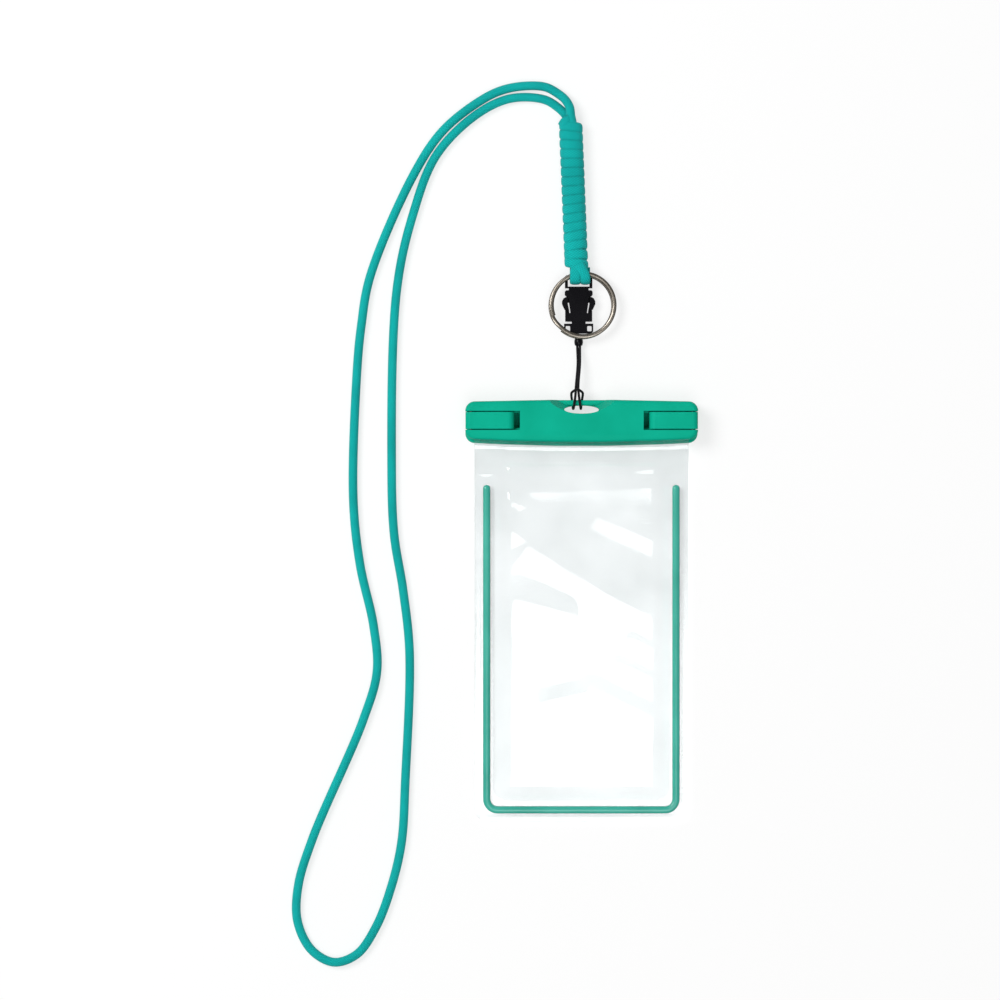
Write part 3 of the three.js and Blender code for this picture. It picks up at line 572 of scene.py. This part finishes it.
# The strands' middle, half width and the points of their upper ends, which lean out of the sleeve
LOOP_STRANDS = [
    (-2.9, 2.6, [(0.4, 164.2, 7.0), (0.2, 161.4, 8.6), (0, 159.4, 9.2)]),
    (1.8, 2.35, [(-2.9, 164.2, 8.3), (-1.5, 161.4, 9.0), (-0.4, 159.4, 9.2)]),
]


def build_bar_loop():
    """Two strands side by side, the right one laid over the left where they leave the sleeve."""
    middle = (LOOP_FRONT + LOOP_REAR) / 2
    mesh = bmesh.new()
    for x, half_width, upper in LOOP_STRANDS:
        route = [
            *[(x + shift, y, z) for shift, y, z in upper],
            (x, LOOP_TURN + 1.9, LOOP_FRONT - 0.15),
            (x, LOOP_TURN + 0.6, LOOP_FRONT - 1.2),
            (x, LOOP_TURN, middle),
            (x, LOOP_TURN + 0.3, LOOP_REAR + 0.8),
            (x, LOOP_TURN + 1.6, LOOP_REAR),
            (x, 163, LOOP_REAR + 0.4),
        ]
        line = smooth_line(metres(route), 0.5 * MM)
        section = cushion(half_width * MM, LOOP_HALF_THICKNESS * MM, 2.6)
        rolled_tube(mesh, line, section, 18, side=Vector((1, 0, 0)))
    return make_piece(mesh, "cord_loop", CORD_TEAL, "lanyard", "cord_teal", "bar_loop")


# Split ring: two turns of flat wire with one step between them

RING_CENTRE = Vector((0.5, 144.8, 5.75)) * MM
RING_RADIUS = 14.85 * MM
RING_WIRE = (2.1 * MM, 0.95 * MM)
RING_PITCH = 1.0 * MM
RING_SHIFT = Vector((0.45, 0.35, 0)) * MM
RING_START = math.radians(200)
RING_STEP = math.radians(30)


def build_split_ring():
    swept = [RING_STEP + i / 360 * (4 * math.pi - RING_STEP) for i in range(361)]
    line = []
    for angle in swept:
        rise = smoothstep((angle - 2 * math.pi) / RING_STEP) - 0.5
        turned = RING_START + angle
        out = Vector((math.cos(turned), math.sin(turned), 0)) * RING_RADIUS
        line.append(RING_CENTRE + out + UP * (rise * RING_PITCH) + RING_SHIFT * rise)
    mesh = bmesh.new()
    rolled_tube(mesh, line, oval(RING_WIRE[0] / 2, RING_WIRE[1] / 2), 20)
    return make_piece(mesh, "ring_wire", NICKEL, "ring", "ring_nickel", "split_ring")


# Thin tether: one cord hitched round the bar, the same points as the solid's

TETHER_DIAMETER = 0.0012
TETHER_X = -2.1
BUCKLE_X = -1.3
BUCKLE_MIDDLE = 2.8
POUCH_TOP = 100.0
HOLE_Y = 95.35
PLUG_END = 131.5
BEAD_LOW = 125.8
BEAD_HIGH = 129.3
BEHIND_BAR = 3.1
BEFORE_BAR = 9.0


def tether_route():
    half = [
        (BUCKLE_X - TETHER_X, 0.66, PLUG_END - 0.3, BUCKLE_MIDDLE, 0),
        (BUCKLE_X - TETHER_X, 0.66, (BEAD_LOW + BEAD_HIGH) / 2, BUCKLE_MIDDLE, 0),
        (BUCKLE_X - TETHER_X, 0.6, BEAD_LOW - 1.5, BUCKLE_MIDDLE, 0.2),
        (0.85, 0.5, POUCH_TOP + 17, BUCKLE_MIDDLE + 2.4, 0.37),
        (0, 0.55, POUCH_TOP + 6.2, BEFORE_BAR - 1.6, 0.3),
        (0, 0.72, POUCH_TOP + 3.2, BEFORE_BAR - 0.7, 0),
        (0, 1.15, POUCH_TOP - 0.6, BEFORE_BAR, 0),
        (0, 1.45, HOLE_Y + 2, BEFORE_BAR - 0.2, 0),
        (0, 1.65, HOLE_Y + 0.9, BEFORE_BAR - 1.5, 0),
        (0, 1.75, HOLE_Y + 0.5, (BEFORE_BAR + BEHIND_BAR) / 2, 0),
        (0, 1.9, HOLE_Y + 0.8, BEHIND_BAR + 0.8, 0),
        (0, 2.2, POUCH_TOP - 1.2, BEHIND_BAR - 0.15, 0),
        (0, 2.6, POUCH_TOP + 1.4, BEHIND_BAR + 0.7, 0),
        (0, 2.7, POUCH_TOP + 2.4, BEHIND_BAR + 3.2, 0),
        (0, 2.4, POUCH_TOP + 3.6, BEFORE_BAR - 0.2, 0),
    ]
    left = [(TETHER_X + shift - out, y, z - lift) for shift, out, y, z, lift in half]
    right = [(TETHER_X + shift + out, y, z + lift) for shift, out, y, z, lift in half]
    apex = (TETHER_X, POUCH_TOP + 4.9, BEFORE_BAR + 0.9)
    return metres([*left, apex, *reversed(right)])


def build_tether():
    line = smooth_line(tether_route(), 0.5 * MM)
    mesh = bmesh.new()
    radius = TETHER_DIAMETER / 2
    rolled_tube(mesh, line, oval(radius, radius), 12)
    return make_piece(mesh, "tether", TETHER_BLACK, "pouch", "tether_black", "tether_cord"), line


# Films of the bag

BAG_HALF_WIDTH = 50.7
BAG_BOTTOM = -100.0
BAG_CORNER = 6.6
FILM_TOP = 85.8
FILM_THICKNESS = 0.35
EDGE_ROW = 0.15
WELD_X = 48.6
WELD_Y = -98.2
WELD_HALF_WIDTH = 0.6
RISE_BOTTOM = 64.82
RISE_TOP = 77.9
RISE_SAG = 1.3
RISE_EASE = 0.12
REAR_FILM = (0.5, 7.35)
FRONT_FILM = (1.3, 8.15)
POCKET_HALF_WIDTH = 42.4
POCKET_BOTTOM = -91.0
POCKET_TOP = 75.6
POCKET_CORNER = 8.0
POCKET_SLOPE = 8.5
POCKET_HEIGHT = 6.5


def climbed(x, y):
    """Share of the film's climb from its foot to the clip, whose top sags between its ends."""
    top = RISE_TOP - RISE_SAG * (1 - (x / BAG_HALF_WIDTH) ** 2)
    return (y - RISE_BOTTOM) / (top - RISE_BOTTOM)


def rise_to_clip(x, y, low, high):
    """The film's climb to its seat in the clip: a straight slope from its foot, eased at its top."""
    t = min(1.0, max(0.0, climbed(x, y)))
    over = max(0.0, t - 1 + RISE_EASE)
    return low + (high - low) * (t - over * over / (2 * RISE_EASE)) / (1 - RISE_EASE / 2)


def depth_inside_pocket(x, y):
    """How far a point lies inside the pocket's rounded outline."""
    middle = (POCKET_BOTTOM + POCKET_TOP) / 2
    out_x = abs(x) - (POCKET_HALF_WIDTH - POCKET_CORNER)
    out_y = abs(y - middle) - ((POCKET_TOP - POCKET_BOTTOM) / 2 - POCKET_CORNER)
    if out_x > 0 and out_y > 0:
        return POCKET_CORNER - math.hypot(out_x, out_y)
    return POCKET_CORNER - max(out_x, out_y)


# Creases of the slack front film: two ends of the crest, its height, and its flanks' widths above and below
FOLDS = [
    ((-38, 41), (-10, 21.5), 0.55, 24, 8),
    ((-25, 31), (12, 8), 0.6, 28, 20),
    ((9, 9.5), (38, -5), 0.6, 30, 26),
    ((-33, 53), (-29, 51), 0.4, 3, 15),
    ((-31, 6), (-6, -1), 0.6, 16, 17),
    ((25, -13), (38, -20), 0.5, 8, 10),
    ((-15, -42), (8, -37), 0.5, 6, 12),
    ((5, -36), (38, -52), 0.55, 6, 11),
    ((20, -25), (36, -33), 0.25, 4, 9),
    ((8, 45), (36, 33), 0.25, 4, 12),
    ((-22, 57), (36, 59), 0.2, 4, 9),
]
FOLD_FADE = 7.0
SLACK_EDGE = 10
SLOW_WAVE = 0.24
FINE_WAVE = 0.02
LEFT_BAND = (-44, -32)
BOTTOM_BAND = (-93, -80)
BAND_EDGE = 3
PRESSED_DEPTH = 0.05
WELD_HEIGHT = 0.2
# Puckers under the clip: place, half width and half height of each
PUCKERS = [
    (-43, 71.5, 3.2, 1.5),
    (42, 74, 3.4, 1.9),
    (36, 67, 8, 0.9),
    (-45, 66, 3, 0.9),
    (12, 73, 16, 1.1),
]
PUCKER_HEIGHT = 0.36


def fold_height(x, y):
    """Height of the crease that stands highest at a point, in millimetres."""
    highest = 0.0
    for (ax, ay), (bx, by), height, above, below in FOLDS:
        length = math.hypot(bx - ax, by - ay)
        ux, uy = (bx - ax) / length, (by - ay) / length
        run = (x - ax) * ux + (y - ay) * uy
        off = (y - ay) * ux - (x - ax) * uy
        past = max(0.0, -run, run - length)
        left = 1 - abs(off) / (above if off > 0 else below)
        if left > 0 and past < FOLD_FADE:
            highest = max(highest, height * left ** 1.5 * smoothstep(1 - past / FOLD_FADE))
    return highest


def ripple(x, y):
    """The slack film's slow waves, in millimetres."""
    slow = noise.noise(Vector(((x * 0.82 + y * 0.57) / 60, (y * 0.82 - x * 0.57) / 30, 3.7)))
    fine = noise.noise(Vector((x / 14, y / 22, 8.1)))
    return SLOW_WAVE * slow + FINE_WAVE * fine


def within(place, low, high):
    """1 inside a band and 0 outside it, with soft edges."""
    return smoothstep((place - low) / BAND_EDGE) * smoothstep((high - place) / BAND_EDGE)


def pressed_lines(x, y):
    """Fine lines along the pocket's left and bottom slopes and the weld beside the film's edge."""
    left = within(x, *LEFT_BAND) * math.sin(x * 2.6)
    bottom = within(y, *BOTTOM_BAND) * math.sin(y * 2.2)
    weld = sum(math.exp(-(off / WELD_HALF_WIDTH) ** 2) for off in (abs(x) - WELD_X, y - WELD_Y))
    return PRESSED_DEPTH * (left + bottom) + WELD_HEIGHT * weld


def pucker_height(x, y):
    return sum(
        PUCKER_HEIGHT * math.exp(-((x - px) / wide) ** 2 - ((y - py) / tall) ** 2)
        for px, py, wide, tall in PUCKERS
    )


def front_film_height(x, y):
    inside = depth_inside_pocket(x, y)
    pocket = FRONT_FILM[0] + (POCKET_HEIGHT - FRONT_FILM[0]) * smoothstep(inside / POCKET_SLOPE)
    climb = climbed(x, y)
    slack = smoothstep(inside / SLACK_EDGE) * (1 - smoothstep(climb))
    detail = slack * (ripple(x, y) + fold_height(x, y))
    if climb < 1:
        detail += (1 - smoothstep(climb)) * pressed_lines(x, y) + pucker_height(x, y)
    return max(pocket, rise_to_clip(x, y, *FRONT_FILM)) + detail


def rear_film_height(x, y):
    return rise_to_clip(x, y, *REAR_FILM)


def spread_to_edge(place, half, step):
    """Grid places scaled to the film, the last row drawn close to the edge so that it stays crisp."""
    if 1 - 1.5 * step < abs(place) < 1 - 0.5 * step:
        return math.copysign(half - EDGE_ROW, place)
    return place * half


def film_mesh(height):
    """A grid laid over the bag's plan, its bottom corners rounded, and lifted to a height."""
    columns, rows = 102, 186
    mesh = bmesh.new()
    bmesh.ops.create_grid(mesh, x_segments=columns, y_segments=rows, size=1.0)
    middle, half = (FILM_TOP + BAG_BOTTOM) / 2, (FILM_TOP - BAG_BOTTOM) / 2
    for vert in mesh.verts:
        x = spread_to_edge(vert.co.x, BAG_HALF_WIDTH, 2 / columns)
        y = middle + spread_to_edge(vert.co.y, half, 2 / rows)
        over_x = abs(x) - (BAG_HALF_WIDTH - BAG_CORNER)
        over_y = BAG_BOTTOM + BAG_CORNER - y
        if over_x > 0 and over_y > 0:
            pull = max(over_x, over_y) / math.hypot(over_x, over_y)
            x = math.copysign(BAG_HALF_WIDTH - BAG_CORNER + over_x * pull, x)
            y = BAG_BOTTOM + BAG_CORNER - over_y * pull
        vert.co = Vector((x, y, height(x, y))) * MM
    bmesh.ops.recalc_face_normals(mesh, faces=mesh.faces)
    if sum(face.normal.z for face in mesh.faces) < 0:
        bmesh.ops.reverse_faces(mesh, faces=mesh.faces)
    return mesh


def build_film(name, node, height):
    film = make_piece(film_mesh(height), name, FILM, "pouch", "film", node, sharp=18)
    wall = film.modifiers.new("film thickness", "SOLIDIFY")
    wall.thickness = FILM_THICKNESS * MM
    wall.offset = -1


# Green bead round the window

BEAD_HALF_SPAN = 44.9
BEAD_BOTTOM = -94.4
BEAD_TOP = 59.8
BEAD_CORNER = 5.2
BEAD_HALF_WIDTH = 1.75
BEAD_HEIGHT = 2.2
BEAD_FOOT = 1.6


def build_trim_bead():
    points = [(-BEAD_HALF_SPAN, BEAD_TOP), (-BEAD_HALF_SPAN, BEAD_BOTTOM + BEAD_CORNER)]
    for side, start in ((-1, math.pi), (1, 1.5 * math.pi)):
        centre = side * (BEAD_HALF_SPAN - BEAD_CORNER)
        for i in range(1, 13):
            angle = start + i / 12 * math.pi / 2
            points.append((
                centre + BEAD_CORNER * math.cos(angle),
                BEAD_BOTTOM + BEAD_CORNER + BEAD_CORNER * math.sin(angle),
            ))
        if side < 0:
            points.append((BEAD_HALF_SPAN - BEAD_CORNER, BEAD_BOTTOM))
    points.append((BEAD_HALF_SPAN, BEAD_TOP))
    middle = BEAD_FOOT + BEAD_HEIGHT / 2
    line = even_line(metres([(x, y, middle) for x, y in points]), 0.35 * MM)
    length = sum((b - a).length for a, b in zip(line, line[1:])) / MM

    def section(turn, share):
        to_end = min(share, 1 - share) * length
        size = math.sqrt(max(0.0, 1 - (1 - min(1.0, to_end / BEAD_HALF_WIDTH)) ** 2))
        size = max(0.02, size)
        return BEAD_HALF_WIDTH * MM * size * math.cos(turn), BEAD_HEIGHT / 2 * MM * size * math.sin(turn)

    mesh = bmesh.new()
    rolled_tube(mesh, line, section, 20)
    return make_piece(mesh, "window_bead", TRIM_GREEN, "pouch", "trim_green", "trim_bead")


# Mouldings: the CAD solids with their edges eased


def build_moulding(name, node, material, body, slot, radius, least=35):
    mesh = node_mesh(node)
    soften(mesh, radius * MM, least)
    piece = make_piece(mesh, name, material, body, slot, node, sharp=32)
    flat = piece.modifiers.new("flat faces", "WEIGHTED_NORMAL")
    flat.keep_sharp = True


def build_mouldings():
    build_moulding("rear_jaw", "rear_shell", CLIP_GREEN, "pouch", "clip_green", 0.25)
    build_moulding("front_jaw", "front_shell", CLIP_GREEN, "pouch", "clip_green", 0.25)
    for side in ("left", "right"):
        node = f"{side}_latch"
        build_moulding(f"{side}_lever", node, CLIP_GREEN, node, "clip_green", 0.45)
    build_moulding("plug_moulding", "buckle_plug", BUCKLE_BLACK, "pouch", "buckle_black", 0.3)
    build_moulding("socket_moulding", "buckle_socket", BUCKLE_BLACK, "lanyard", "buckle_black", 0.35)
    build_moulding("crimp_bead", "tether_bead", BUCKLE_BLACK, "pouch", "buckle_black", 0.2)


def dress_node(node, material):
    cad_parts[node].data.materials.clear()
    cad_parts[node].data.materials.append(material)


# The floor, the white surroundings and the lamps

FLOOR_SIZE = 8.0
FLOOR_DROP = 0.0003
FLOOR_SHADOW_SHARE = 0.3
WORLD_LIGHT = 0.27


def white_ray(tree):
    """1 where a ray comes from the camera, a reflection or a clear piece."""
    path = add(tree, "LightPath").outputs
    shiny = maths(tree, "MAXIMUM", path["Is Glossy Ray"], path["Is Transmission Ray"])
    return maths(tree, "MAXIMUM", path["Is Camera Ray"], shiny)


def build_floor():
    mesh = bmesh.new()
    bmesh.ops.create_grid(mesh, x_segments=1, y_segments=1, size=FLOOR_SIZE / 2)
    bmesh.ops.translate(mesh, vec=(0, 0, -FLOOR_DROP), verts=mesh.verts)
    data = bpy.data.meshes.new("floor")
    mesh.to_mesh(data)
    mesh.free()
    floor = bpy.data.objects.new("floor", data)
    bpy.context.scene.collection.objects.link(floor)
    material, tree, shader = new_material("white_floor", {"Roughness": 1.0, "Specular IOR Level": 0.0})
    shader.inputs["Base Color"].default_value = (1, 1, 1, 1)
    glow = add(tree, "Emission", {"Color": (1, 1, 1, 1), "Strength": 1.0})
    share = maths(tree, "MULTIPLY", white_ray(tree), 1 - FLOOR_SHADOW_SHARE)
    mixed = add(tree, "MixShader", {0: share, 1: shader.outputs[0], 2: glow.outputs[0]})
    tree.links.new(mixed.outputs[0], tree.nodes["Material Output"].inputs["Surface"])
    data.materials.append(material)


def build_world():
    world = bpy.data.worlds.new("white_studio")
    bpy.context.scene.world = world
    world.use_nodes = True
    tree = world.node_tree
    seen = add(tree, "LightPath").outputs["Is Camera Ray"]
    level = spread(tree, seen, 0.0, 1.0, WORLD_LIGHT, 1.0)
    tree.links.new(level, tree.nodes["Background"].inputs["Strength"])
    tree.nodes["Background"].inputs["Color"].default_value = (1, 1, 1, 1)


def build_lamp(name, place, size, power):
    data = bpy.data.lights.new(name, "AREA")
    data.shape = "DISK"
    data.size = size
    data.energy = power
    lamp = bpy.data.objects.new(name, data)
    lamp.location = place
    point_at(lamp, (0, 0.04, 0))
    lamp.visible_camera = False
    bpy.context.scene.collection.objects.link(lamp)


def build_light():
    build_world()
    build_lamp("overhead_lamp", (0.1, -1.02, 3.1), 2.0, 31.5)
    build_lamp("key_lamp", (-0.95, 0.6, 1.5), 0.9, 21)
    view = bpy.context.scene.view_settings
    view.view_transform = "Standard"


build_camera()
neck_cord, cord_line = build_neck_cord()
build_braid()
tether, tether_line = build_tether()
build_bar_loop()
build_split_ring()
build_mouldings()
build_film("rear_film", "rear_sheet", rear_film_height)
build_film("front_film", "front_sheet", front_film_height)
build_trim_bead()
for node in ("left_latch_pin", "right_latch_pin"):
    dress_node(node, STEEL)
for node in ("rear_seal_strip", "front_seal_strip"):
    dress_node(node, SILICONE)
build_floor()
build_light()
